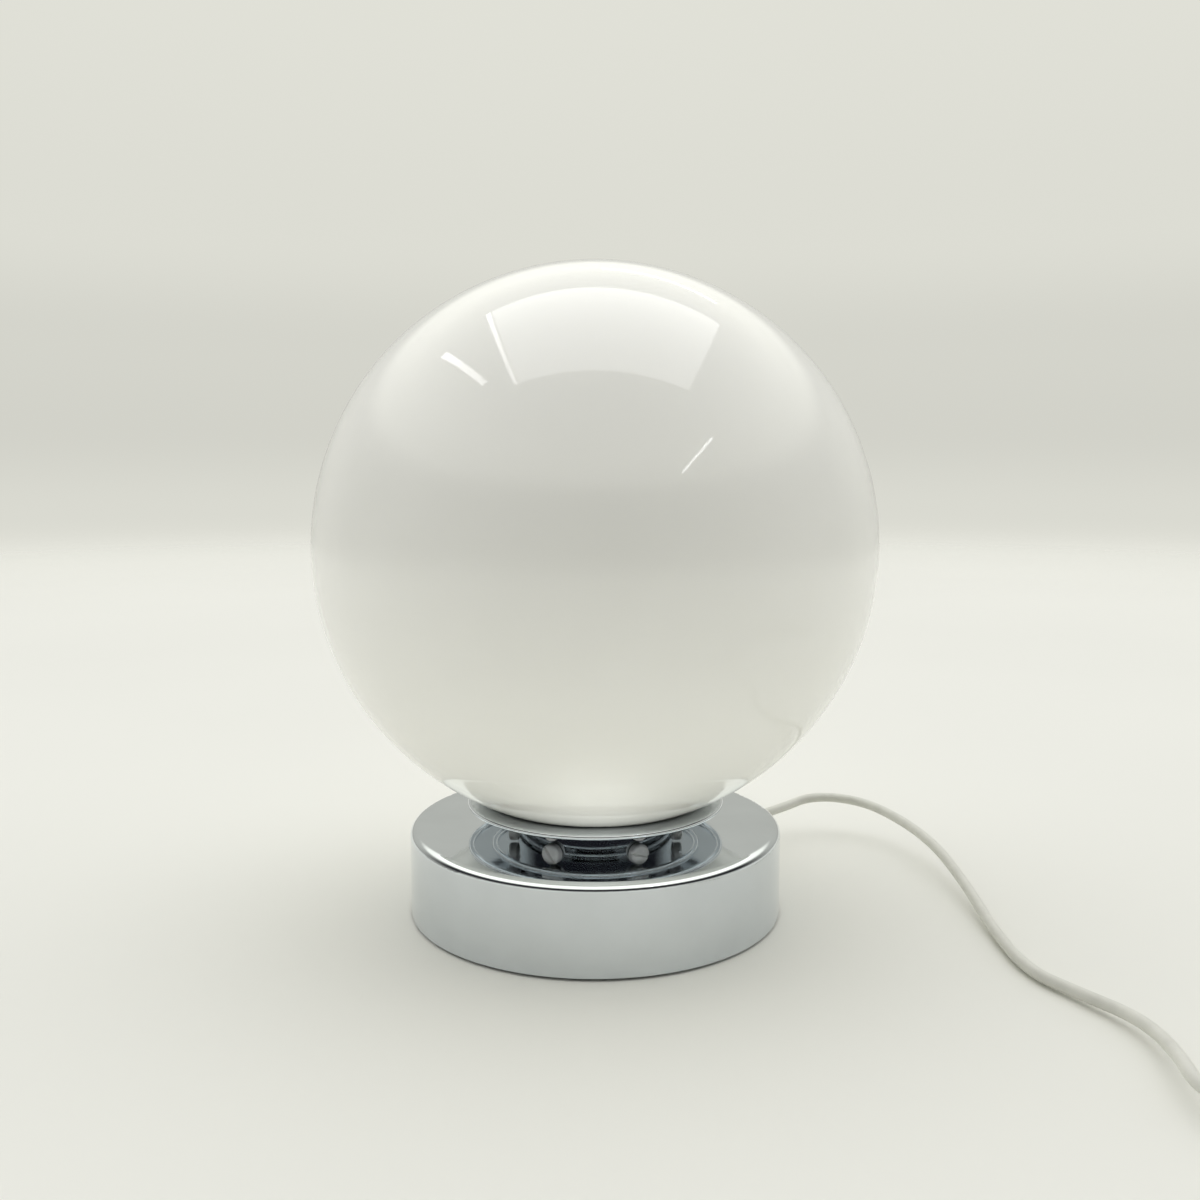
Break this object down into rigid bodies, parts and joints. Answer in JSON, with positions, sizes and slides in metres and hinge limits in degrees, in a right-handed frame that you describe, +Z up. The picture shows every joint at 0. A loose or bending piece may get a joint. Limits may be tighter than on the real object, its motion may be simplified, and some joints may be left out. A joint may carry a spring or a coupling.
{
  "type": "bedside lamp",
  "caption": "Bedside lamp with an opal glass globe held by clamp screws in a chrome gallery on a low chrome drum, with a mains cord, inline rocker switch and plug.",
  "frame": {"origin": "centre of the drum's footprint, on the table", "axes": "+Z up along the lamp's axis, -Y towards the front of the picture, +X to its right, where the cord lies"},
  "size_m": [0.4502, 0.28, 0.2335],
  "materials": {
    "chrome": "mirror polished plating",
    "opal_glass": "gloss opal glass",
    "cast_iron": "rough casting",
    "steel": "zinc plated",
    "felt": "pressed felt",
    "white_plastic": "moulded",
    "ceramic": "glazed",
    "brass": "drawn",
    "bulb_glass": "frosted",
    "black_glass": "gloss",
    "cord_pvc": "matt flexible",
    "dark_plastic": "matt"
  },
  "bodies": {
    "base": {"base_shell": "chrome", "weight": "cast_iron", "bottom_plate": "steel", "cover_screws": "steel", "felt_pad": "felt", "gallery": "chrome", "threaded_tube": "steel", "lower_nut": "steel", "upper_nut": "steel", "washer": "steel", "holder_cap": "white_plastic", "holder_skirt": "white_plastic", "holder_core": "ceramic", "terminal_screws": "brass", "screw_sleeve": "brass", "centre_contact": "brass", "cord_bushing": "cord_pvc", "inner_cord": "cord_pvc", "lead_wires": "cord_pvc", "cord_clamp": "white_plastic", "clamp_screws": "steel", "cord_run": "cord_pvc", "cord_link": "cord_pvc", "cord_coil": "cord_pvc", "cord_tail": "cord_pvc", "cord_tie": "dark_plastic", "switch_lower": "white_plastic", "switch_upper": "white_plastic", "rocker_pin": "steel", "switch_screws": "steel", "switch_terminals": "brass", "plug_body": "cord_pvc", "prong_sleeves": "dark_plastic", "prongs": "steel"},
    "globe": {"globe": "opal_glass"},
    "clamp_screw_1": {"clamp_screw_1": "chrome"},
    "clamp_screw_2": {"clamp_screw_2": "chrome"},
    "clamp_screw_3": {"clamp_screw_3": "chrome"},
    "clamp_screw_4": {"clamp_screw_4": "chrome"},
    "clamp_screw_5": {"clamp_screw_5": "chrome"},
    "clamp_screw_6": {"clamp_screw_6": "chrome"},
    "bulb_foot": {"bulb_tip": "brass", "bulb_insulator": "black_glass"},
    "bulb": {"bulb_cap": "steel", "bulb_glass": "bulb_glass"},
    "rocker": {"switch_rocker": "white_plastic"}
  },
  "joints": [
    {"name": "globe_lift", "type": "slide", "parent": "base", "child": "globe", "axis": [0, 0, 1], "range_m": [0, 0.13]},
    {"name": "clamp_screw_1_out", "type": "slide", "parent": "base", "child": "clamp_screw_1", "axis": [0.5, -0.866, 0], "range_m": [0, 0.0015]},
    {"name": "clamp_screw_2_out", "type": "slide", "parent": "base", "child": "clamp_screw_2", "axis": [1, 0, 0], "range_m": [0, 0.0015]},
    {"name": "clamp_screw_3_out", "type": "slide", "parent": "base", "child": "clamp_screw_3", "axis": [0.5, 0.866, 0], "range_m": [0, 0.0015]},
    {"name": "clamp_screw_4_out", "type": "slide", "parent": "base", "child": "clamp_screw_4", "axis": [-0.5, 0.866, 0], "range_m": [0, 0.0015]},
    {"name": "clamp_screw_5_out", "type": "slide", "parent": "base", "child": "clamp_screw_5", "axis": [-1, 0, 0], "range_m": [0, 0.0015]},
    {"name": "clamp_screw_6_out", "type": "slide", "parent": "base", "child": "clamp_screw_6", "axis": [-0.5, -0.866, 0], "range_m": [0, 0.0015]},
    {"name": "bulb_rise", "type": "slide", "parent": "base", "child": "bulb_foot", "axis": [0, 0, 1], "range_m": [0, 0.0085]},
    {"name": "bulb_turn", "type": "hinge", "parent": "bulb_foot", "child": "bulb", "pos_m": [0, 0, 0.09], "axis": [0, 0, 1], "range_deg": [0, 1080]},
    {"name": "rocker_tip", "type": "hinge", "parent": "base", "child": "rocker", "pos_m": [0.224, -0.168, 0.011], "axis": [0, 1, 0], "range_deg": [0, 16]}
  ],
  "couplings": [
    {"joint": "bulb_rise", "follows": "bulb_turn", "m_per_rad": 0.00044882}
  ]
}
